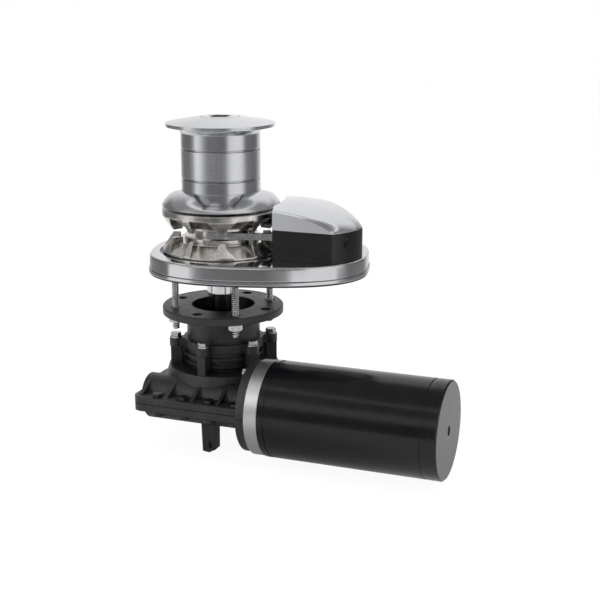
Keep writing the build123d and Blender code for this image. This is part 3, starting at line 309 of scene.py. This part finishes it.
def makeGypsyChrome(look):
    finish = Finish("gypsyChrome")
    wave = finish.noise(look["waves"], 3.0)
    pits = finish.cells(look["pits"])
    roughness = look["roughness"] + (wave - 0.5) * 0.16
    finish.bump(wave + 0.15 * pits, 0.3, look["bumpDepth"], edge=look["roundedEdge"])
    shade = tuple(0.72 * part for part in look["colour"])
    plain = finish.blend(finish.ramp(wave, (0.35, 1.0), (0.6, 0.0)), look["colour"], shade)
    # Painted shade: the chrome goes towards near-black in pockets and corners, from ambient occlusion
    paintedShadeMask = finish.ramp(finish.crevice(look["paintedShadeReach"]), (0.25, 1.0), (0.75, 0.0))
    return finish.set(
        colour=finish.blend(paintedShadeMask * 0.85, plain, look["paintedShadeColour"]), metallic=1.0, roughness=roughness)


# Bright, blackened and oiled steel of fasteners, studs, main shaft and stripper bar
fastenerSteel = {"colour": (0.6, 0.6, 0.61), "roughness": 0.24, "paintedShade": 0.8, "paintedShadeReach": 0.0015}
blackenedSteel = {"colour": (0.05, 0.05, 0.052), "roughness": 0.3, "paintedShade": 0.8, "paintedShadeReach": 0.0015}
boltSteel = {"colour": (0.5, 0.5, 0.51), "roughness": 0.24, "paintedShade": 0.9, "paintedShadeReach": 0.002}
studSteel = {"colour": (0.9, 0.9, 0.91), "roughness": 0.18, "paintedShade": 0.95, "paintedShadeReach": 0.0016}
oiledSteel = {"colour": (0.05, 0.05, 0.05), "roughness": 0.3, "paintedShade": 0.5, "paintedShadeReach": 0.003}


def makeFastenerSteel(name, look):
    finish = Finish(name)
    grain = finish.noise(1400.0, 2.0)
    stain = finish.noise(120.0, 4.0)
    darker = tuple(0.7 * part for part in look["colour"])
    finish.bump(grain, 0.15, 0.00005, edge=0.0005)
    plain = finish.blend(finish.ramp(stain, (0.4, 0.0), (0.7, 1.0)), look["colour"], darker)
    # Painted shade: near-black in each fastener's corners and thread roots, from ambient occlusion
    paintedShadeMask = finish.ramp(finish.crevice(look["paintedShadeReach"]), (0.35, 1.0), (0.85, 0.0))
    paintedShade = tuple(0.06 * part for part in look["colour"])
    return finish.set(
        colour=finish.blend(paintedShadeMask * look["paintedShade"], plain, paintedShade), metallic=1.0,
        roughness=look["roughness"] + (grain - 0.5) * 0.15)


# Semi-gloss black plastic of the chain cover
coverPlastic = {
    "colour": (0.0045, 0.0047, 0.0055), "roughness": 0.3, "specular": 0.4, "grains": 2600.0, "scuffs": 60.0,
    "roundedEdge": 0.0012}


def makeCoverPlastic(look):
    finish = Finish("coverPlastic")
    grain = finish.noise(look["grains"], 2.0)
    scuff = finish.noise(look["scuffs"], 5.0)
    finish.bump(grain, 0.25, 0.00006, edge=look["roundedEdge"])
    lighter = tuple(part + 0.004 for part in look["colour"])
    return finish.set(
        colour=finish.blend(finish.ramp(scuff, (0.5, 0.0), (0.75, 1.0)), look["colour"], lighter),
        metallic=0.0, roughness=look["roughness"] + (scuff - 0.5) * 0.14, specular=look["specular"])


# Satin black paint over sand-cast aluminium
castingBlack = {
    "colour": (0.011, 0.0112, 0.012), "roughness": 0.36, "specular": 0.5, "sand": 900.0, "lumps": 160.0,
    "dust": 35.0, "bumpDepth": 0.0006, "roundedEdge": 0.0013, "shadeReach": 0.01,
    "shadeColour": (0.0012, 0.0012, 0.0014)}


def makeCastingBlack(look):
    finish = Finish("castingBlack")
    sand = finish.noise(look["sand"], 3.0)
    lumps = finish.noise(look["lumps"], 3.0)
    dust = finish.noise(look["dust"], 5.0)
    finish.bump(sand * 1.2 + lumps, 0.8, look["bumpDepth"], edge=look["roundedEdge"])
    lighter = tuple(part * 1.8 for part in look["colour"])
    plain = finish.blend(finish.ramp(dust, (0.42, 0.0), (0.7, 1.0)), look["colour"], lighter)
    shaded = finish.ramp(finish.crevice(look["shadeReach"]), (0.3, 1.0), (0.9, 0.0))
    return finish.set(
        colour=finish.blend(shaded * 0.8, plain, look["shadeColour"]), metallic=0.0,
        roughness=look["roughness"] + (lumps - 0.5) * 0.25, specular=look["specular"])


# Gloss black enamel of the motor
motorBlack = {
    "colour": (0.0026, 0.0026, 0.0034), "roughness": 0.2, "specular": 0.36, "coat": 0.06, "flow": 42.0,
    "specks": 1500.0, "roundedEdge": 0.001}


def makeMotorBlack(look):
    finish = Finish("motorBlack")
    flow = finish.noise(look["flow"], 2.0)
    speck = finish.noise(look["specks"], 2.0)
    finish.bump(flow + 0.05 * speck, 0.06, 0.0006, edge=look["roundedEdge"])
    lighter = tuple(part + 0.003 for part in look["colour"])
    return finish.set(
        colour=finish.blend(flow, look["colour"], lighter), metallic=0.0, coat=look["coat"],
        coatRoughness=0.12, roughness=look["roughness"] + (flow - 0.5) * 0.1, specular=look["specular"])


# Bead-blasted aluminium of the motor's front bell
ringAluminium = {"colour": (0.66, 0.66, 0.67), "roughness": 0.36}


def makeRingAluminium(look):
    finish = Finish("ringAluminium")
    beads = finish.cells(1700.0)
    tone = finish.noise(80.0, 4.0)
    finish.bump(beads, 0.25, 0.00012)
    darker = tuple(0.8 * part for part in look["colour"])
    return finish.set(
        colour=finish.blend(tone, look["colour"], darker), metallic=1.0,
        roughness=look["roughness"] + (tone - 0.5) * 0.12)


# Black rubber of gaskets and seals
sealRubber = {"colour": (0.018, 0.018, 0.018), "roughness": 0.75}


def makeSealRubber(look):
    finish = Finish("sealRubber")
    grain = finish.noise(1800.0, 3.0)
    bloom = finish.noise(90.0, 4.0)
    finish.bump(grain, 0.3, 0.0001)
    lighter = tuple(part + 0.03 for part in look["colour"])
    return finish.set(
        colour=finish.blend(finish.ramp(bloom, (0.45, 0.0), (0.8, 1.0)), look["colour"], lighter),
        metallic=0.0, roughness=look["roughness"] + (grain - 0.5) * 0.2)


# Ground steel of shafts, keys and cones
shaftSteel = {"colour": (0.5, 0.5, 0.51), "roughness": 0.28, "ringsPerMetre": 3200.0}


def makeShaftSteel(look):
    finish = Finish("shaftSteel")
    radius, height = aroundShaft(finish)
    rings = finish.noise(look["ringsPerMetre"], 1.0, finish.joined(radius, 0.0, height))
    oil = finish.noise(60.0, 3.0)
    darker = tuple(0.7 * part for part in look["colour"])
    finish.bump(rings, 0.3, 0.00002)
    return finish.set(
        colour=finish.blend(oil, look["colour"], darker), metallic=1.0,
        roughness=look["roughness"] + (oil - 0.5) * 0.2)


bearingSteel = {"colour": (0.64, 0.64, 0.65), "roughness": 0.15}


def makeBearingSteel(look):
    finish = Finish("bearingSteel")
    grain = finish.noise(1300.0, 2.0)
    oil = finish.noise(75.0, 3.0)
    darker = tuple(0.75 * part for part in look["colour"])
    finish.bump(grain, 0.1, 0.00003)
    return finish.set(
        colour=finish.blend(oil, look["colour"], darker), metallic=1.0,
        roughness=look["roughness"] + (oil - 0.5) * 0.12)


# Warm metals inside: bronze, copper and brass, each with a little tarnish
bronze = {"name": "bronze", "colour": (0.55, 0.36, 0.16), "tarnish": (0.3, 0.19, 0.09), "roughness": 0.32}
copper = {"name": "copper", "colour": (0.66, 0.3, 0.17), "tarnish": (0.38, 0.15, 0.09), "roughness": 0.3}
brass = {"name": "brass", "colour": (0.68, 0.5, 0.2), "tarnish": (0.4, 0.28, 0.11), "roughness": 0.26}


def makeWarmMetal(look):
    finish = Finish(look["name"])
    stain = finish.noise(110.0, 5.0)
    cut = finish.noise(1500.0, 2.0)
    finish.bump(cut, 0.2, 0.00005)
    return finish.set(
        colour=finish.blend(finish.ramp(stain, (0.35, 0.0), (0.7, 1.0)), look["colour"], look["tarnish"]),
        metallic=1.0, roughness=look["roughness"] + (cut - 0.5) * 0.15)


# Stacked iron sheets of the armature, seen as fine lines across the motor's axis
laminatedIron = {"colour": (0.17, 0.17, 0.18), "roughness": 0.5, "sheet": 0.0005}


def makeLaminatedIron(look):
    finish = Finish("laminatedIron")
    along = alongMotor(finish)
    lines = finish.add("ShaderNodeMath", {"operation": "PINGPONG"}, {0: along, 1: look["sheet"]})
    lines = lines / look["sheet"]
    stain = finish.noise(90.0, 4.0)
    finish.bump(lines, 0.5, 0.00008)
    rusty = (0.2, 0.15, 0.12)
    return finish.set(
        colour=finish.blend(finish.ramp(stain, (0.5, 0.0), (0.9, 1.0)), look["colour"], rusty),
        metallic=0.9, roughness=look["roughness"] + (stain - 0.5) * 0.2)


ferrite = {"colour": (0.06, 0.06, 0.065), "roughness": 0.6}
carbon = {"colour": (0.03, 0.03, 0.032), "roughness": 0.55}
mouldedPlastic = {"colour": (0.1, 0.075, 0.05), "roughness": 0.5}


def makePressed(name, look):
    finish = Finish(name)
    grain = finish.cells(1100.0)
    tone = finish.noise(140.0, 4.0)
    finish.bump(grain, 0.2, 0.0001)
    lighter = tuple(1.6 * part for part in look["colour"])
    return finish.set(
        colour=finish.blend(tone, look["colour"], lighter), metallic=0.0,
        roughness=look["roughness"] + (tone - 0.5) * 0.2)


slotFinishes = {
    "drum_steel": makeDrumSteel(drumSteel),
    "cover_steel": makePolishedSteel(polishedSteel),
    "fastener_steel": makeFastenerSteel("fastenerSteel", fastenerSteel),
    "cover_plastic": makeCoverPlastic(coverPlastic),
    "seal_rubber": makeSealRubber(sealRubber),
    "casting_black": makeCastingBlack(castingBlack),
    "motor_black": makeMotorBlack(motorBlack),
    "ring_aluminium": makeRingAluminium(ringAluminium),
    "shaft_steel": makeShaftSteel(shaftSteel),
    "bearing_steel": makeBearingSteel(bearingSteel),
    "bronze": makeWarmMetal(bronze),
    "copper": makeWarmMetal(copper),
    "terminal_brass": makeWarmMetal(brass),
    "laminated_iron": makeLaminatedIron(laminatedIron),
    "ferrite": makePressed("ferrite", ferrite),
    "carbon": makePressed("carbon", carbon),
    "insulating_plastic": makePressed("mouldedPlastic", mouldedPlastic),
}
slotFinishes["bright_chrome"] = slotFinishes["cover_steel"]
blackened = makeFastenerSteel("blackenedSteel", blackenedSteel)
nodeFinishes = {
    "gypsy": makeGypsyChrome(gypsyChrome),
    "casing_screws": blackened,
    "cover_screws": blackened,
    "clamp_bolts": makeFastenerSteel("boltSteel", boltSteel),
    "main_shaft": makeFastenerSteel("oiledSteel", oiledSteel),
    "base_plate": makeBaseSteel(baseSteel),
    "cover_dome": makeDomeSteel(domeSteel),
}


def dressNodes():
    slotOf = {entry["node"]: entry["material_slot"] for entry in frame["record"]["subparts"]}
    for name, thing in nodes.items():
        finish = nodeFinishes.get(name) or slotFinishes[slotOf[name]]
        thing.data.materials.clear()
        thing.data.materials.append(finish)


dressNodes()
print("finishes on all nodes")


# Threaded studs: one turn's outline is wound up into a thread, cut flat at both ends and copied
threadedStud = {
    "crest": 0.004, "root": 0.0029, "pitch": 0.0022, "low": -0.064, "high": 0.0013, "around": 20,
    "circle": 0.053, "firstAngle": 22.5, "count": 4, "pointed": 0.8, "crestFrom": 0.42, "crestTo": 0.58,
    "smoothBelow": 28,
}


def makeThreadedStuds(look):
    bpy.ops.object.select_all(action="DESELECT")
    bpy.ops.mesh.primitive_plane_add(size=look["pitch"], location=(0, 0, 0))
    stud = bpy.context.object
    stud.name = "threadedStuds"
    pitch = look["pitch"]
    start = look["low"] - 2 * pitch
    outline = [
        (look["root"], start), (look["crest"], start + look["crestFrom"] * pitch),
        (look["crest"], start + look["crestTo"] * pitch), (look["root"], start + pitch)]
    order = [0, 1, 3, 2]   # round the plane's rim
    for corner, (radius, height) in zip(order, outline):
        stud.data.vertices[corner].co = (radius, 0, height)
    bpy.ops.object.mode_set(mode="EDIT")
    bpy.ops.mesh.delete(type="ONLY_FACE")
    bpy.ops.mesh.select_mode(type="EDGE")
    bpy.ops.mesh.select_all(action="DESELECT")
    bpy.ops.object.mode_set(mode="OBJECT")
    for edge in stud.data.edges:
        edge.select = set(edge.vertices) == {order[0], order[3]}
    bpy.ops.object.mode_set(mode="EDIT")
    bpy.ops.mesh.delete(type="EDGE")
    bpy.ops.object.mode_set(mode="OBJECT")

    winding = stud.modifiers.new("winding", "SCREW")
    winding.axis = "Z"
    winding.angle = math.radians(360)
    winding.screw_offset = pitch
    winding.iterations = int((look["high"] - look["low"]) / pitch) + 4
    winding.steps = look["around"]
    winding.render_steps = look["around"]
    bpy.ops.object.modifier_apply(modifier="winding")

    bpy.ops.object.mode_set(mode="EDIT")
    bpy.ops.mesh.select_mode(type="VERT")
    bpy.ops.mesh.select_all(action="SELECT")
    bpy.ops.mesh.remove_doubles(threshold=0.00001)
    for height, outward in ((look["low"], -1), (look["high"], 1)):
        bpy.ops.mesh.select_all(action="SELECT")
        bpy.ops.mesh.bisect(
            plane_co=(0, 0, height), plane_no=(0, 0, outward), use_fill=True, clear_outer=True)
    bpy.ops.mesh.select_all(action="DESELECT")
    bpy.ops.object.mode_set(mode="OBJECT")
    for corner in stud.data.vertices:
        corner.select = corner.co.z < look["low"] + 0.4 * pitch
    bpy.ops.object.mode_set(mode="EDIT")
    bpy.ops.transform.resize(value=(look["pointed"], look["pointed"], 1), center_override=(0, 0, look["low"]))
    bpy.ops.mesh.select_all(action="SELECT")
    bpy.ops.mesh.normals_make_consistent(inside=False)
    bpy.ops.object.mode_set(mode="OBJECT")
    bpy.ops.object.shade_smooth_by_angle(angle=math.radians(look["smoothBelow"]))

    # Three copies for the other holes, then all four become one piece
    studs = [stud]
    for index in range(1, look["count"]):
        copy = stud.copy()
        copy.data = stud.data.copy()
        bpy.context.scene.collection.objects.link(copy)
        studs.append(copy)
    for index, piece in enumerate(studs):
        angle = math.radians(look["firstAngle"] + 360 * index / look["count"])
        piece.location = (look["circle"] * math.cos(angle), look["circle"] * math.sin(angle), 0)
        piece.select_set(True)
    bpy.context.view_layer.objects.active = stud
    bpy.ops.object.join()
    bpy.ops.object.transform_apply(location=True, rotation=True, scale=True)
    stud.data.materials.clear()
    stud.data.materials.append(makeFastenerSteel("studSteel", studSteel))
    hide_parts("mounting_studs")
    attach(stud, "housing")
    print("threaded studs,", len(stud.data.polygons), "faces")


makeThreadedStuds(threadedStud)


# Stage: pale floor, soft lamps, and a wall, a floor card and a ceiling card in bright and dark tones that
# only reflections show. The wall's tones are given by the angle from the camera's side, in degrees.
stage = {
    "floorHeight": -0.1925,
    "floorColour": (0.9, 0.9, 0.9),
    "floorShown": 0.86,
    "floorGlow": 1.08,
    "worldLight": 0.5,
    "wallRadius": 0.75,
    "wallLow": -0.19,
    "wallHigh": 0.95,
    "wallTurns": 0.42,
    "turnWidth": 0.03,
    "footTurns": -0.12,
    "footTones": [
        (-180, 0.9), (-140, 0.3), (-92, 0.2), (-83, 0.25), (-76, 1.0), (-50, 1.0), (-42, 0.4), (-34, 0.24),
        (-4, 0.18), (8, 0.4), (14, 1.0), (56, 1.0), (64, 0.35), (84, 0.22), (130, 0.3), (160, 0.9),
        (180, 0.9)],
    "lowTones": [
        (-180, 1.0), (-152, 0.8), (-134, 0.22), (-92, 0.17), (-80, 0.36), (-72, 0.88), (-60, 0.72),
        (-50, 0.5), (-42, 0.3), (-33, 0.17), (14, 0.16), (20, 0.3), (27, 0.86), (64, 0.88), (70, 0.6),
        (78, 0.2), (122, 0.18), (136, 0.5), (152, 0.9), (180, 1.0)],
    "middleTurns": 0.14,
    "middleTones": [
        (-180, 1.0), (-152, 0.8), (-134, 0.22), (-92, 0.17), (-78, 0.5), (-66, 0.7), (-52, 0.5), (-42, 0.9),
        (-8, 0.9), (2, 0.2), (20, 0.3), (27, 0.86), (64, 0.88), (78, 0.2), (122, 0.18), (152, 0.9),
        (180, 1.0)],
    "highTones": [
        (-180, 1.0), (-150, 0.7), (-125, 0.35), (-60, 0.22), (-8, 0.3), (25, 0.7), (60, 0.75), (80, 0.3),
        (112, 0.3), (135, 0.9), (180, 1.0)],
    "floorTones": [(0.0, 0.16), (0.22, 0.4), (0.34, 0.75), (0.8, 0.9), (1.0, 0.95)],
    "floorCardRadius": 0.74,
    "ceilingTones": [(0.0, 0.2), (0.7, 0.25), (1.0, 0.4)],
    "ceilingRadius": 0.62,
}


def makeFloor(look):
    bpy.ops.object.select_all(action="DESELECT")
    bpy.ops.mesh.primitive_plane_add(size=12.0, location=(0, 0, look["floorHeight"]))
    floor = bpy.context.object
    floor.name = "floor"
    finish = Finish("paleFloor")
    light = finish.add("ShaderNodeLightPath", {}, {}, "Is Camera Ray")
    glossy = Flow(finish, light.socket.node.outputs["Is Glossy Ray"])
    clear = Flow(finish, light.socket.node.outputs["Is Transmission Ray"])
    shown = light.most(glossy).most(clear)
    glow = finish.add("ShaderNodeEmission", {}, {"Color": (1, 1, 1, 1), "Strength": look["floorGlow"]})
    mixed = finish.add("ShaderNodeMixShader", {}, {
        0: shown * look["floorShown"], 1: Flow(finish, finish.surface.outputs["BSDF"]), 2: glow})
    finish.set(colour=look["floorColour"], roughness=0.9)
    output = finish.tree.nodes["Material Output"]
    finish.tree.links.new(mixed.socket, output.inputs["Surface"])
    floor.data.materials.append(finish.material)


def makeWorld(look):
    world = bpy.data.worlds.new("studio")
    bpy.context.scene.world = world
    world.use_nodes = True
    tree = world.node_tree
    background = tree.nodes["Background"]
    background.inputs["Color"].default_value = (1, 1, 1, 1)
    path = tree.nodes.new("ShaderNodeLightPath")
    most = tree.nodes.new("ShaderNodeMath")
    most.operation = "MAXIMUM"
    tree.links.new(path.outputs["Is Camera Ray"], most.inputs[0])
    tree.links.new(path.outputs["Is Glossy Ray"], most.inputs[1])
    strength = tree.nodes.new("ShaderNodeMapRange")
    strength.inputs["To Min"].default_value = look["worldLight"]
    strength.inputs["To Max"].default_value = 1.0
    tree.links.new(most.outputs[0], strength.inputs["Value"])
    tree.links.new(strength.outputs["Result"], background.inputs["Strength"])


def onlyInReflections(thing):
    thing.visible_camera = False
    thing.visible_diffuse = False
    thing.visible_shadow = False
    thing.visible_transmission = False


def makeWall(look):
    # Angles are counted to the right as the camera sees it, and four bands of tones lie one above another
    bpy.ops.mesh.primitive_cylinder_add(
        vertices=96, radius=look["wallRadius"], depth=look["wallHigh"] - look["wallLow"],
        end_fill_type="NOTHING", location=(0, 0, (look["wallHigh"] + look["wallLow"]) / 2))
    wall = bpy.context.object
    wall.name = "reflectionWall"
    shade = Finish("studioWall")
    x, y, z = shade.parts(shade.place)
    angle = shade.add("ShaderNodeMath", {"operation": "ARCTAN2"}, {0: x, 1: 0.0 - y})
    share = (angle - math.radians(camera["turn"])) / (2 * math.pi) + 0.5
    around = shade.add("ShaderNodeMath", {"operation": "FRACT"}, {0: share})
    tones = []
    for name in ("footTones", "lowTones", "middleTones", "highTones"):
        stops = [((degrees + 180) / 360, tone) for degrees, tone in look[name]]
        tones.append(shade.ramp(around, *stops))
    shown = tones[0]
    for name, upper in (("footTurns", tones[1]), ("middleTurns", tones[2]), ("wallTurns", tones[3])):
        turns = look[name] - (look["wallHigh"] + look["wallLow"]) / 2
        above = shade.add("ShaderNodeMapRange", {}, {
            "Value": z, "From Min": turns - look["turnWidth"], "From Max": turns + look["turnWidth"]})
        shown = shade.blend(above, shown, upper)
    glow = shade.add("ShaderNodeEmission", {}, {"Color": shown, "Strength": 1.0})
    shade.tree.links.new(glow.socket, shade.tree.nodes["Material Output"].inputs["Surface"])
    wall.data.materials.append(shade.material)
    onlyInReflections(wall)


def makeCard(name, height, radius, tones):
    # A round card whose tones run from its middle to its rim
    bpy.ops.mesh.primitive_circle_add(
        vertices=64, radius=radius, fill_type="NGON", location=(0.05, 0, height))
    card = bpy.context.object
    card.name = name
    shade = Finish(name + "Tone")
    away = shade.add("ShaderNodeVectorMath", {"operation": "LENGTH"}, {0: shade.place}, "Value") / radius
    glow = shade.add("ShaderNodeEmission", {}, {"Color": shade.ramp(away, *tones), "Strength": 1.0})
    shade.tree.links.new(glow.socket, shade.tree.nodes["Material Output"].inputs["Surface"])
    card.data.materials.append(shade.material)
    onlyInReflections(card)


lamps = {
    "overhead": {"place": (0.1, -0.1, 1.5), "aim": (0.05, 0, 0), "size": (1.4, 1.0), "watts": 12.0},
    "leftSide": {"place": (-1.3, -0.8, 0.6), "aim": (0, 0, -0.02), "size": (0.5, 1.2), "watts": 9.0},
    "rightSide": {"place": (1.3, -0.9, 0.6), "aim": (0.05, 0, -0.02), "size": (0.6, 1.2), "watts": 9.0},
}


def makeLamp(name, look):
    data = bpy.data.lights.new(name, "AREA")
    data.shape = "RECTANGLE"
    data.size, data.size_y = look["size"]
    data.energy = look["watts"]
    lamp = bpy.data.objects.new(name, data)
    lamp.location = look["place"]
    away = Vector(look["aim"]) - Vector(look["place"])
    lamp.rotation_euler = away.to_track_quat("-Z", "Y").to_euler()
    bpy.context.scene.collection.objects.link(lamp)


makeFloor(stage)
makeWorld(stage)
makeWall(stage)
makeCard("floorCard", stage["floorHeight"] + 0.0005, stage["floorCardRadius"], stage["floorTones"])
makeCard("ceilingCard", stage["wallHigh"], stage["ceilingRadius"], stage["ceilingTones"])
for lampName, lampLook in lamps.items():
    makeLamp(lampName, lampLook)
bpy.context.scene.view_settings.view_transform = "Standard"
print("stage and lamps ready")
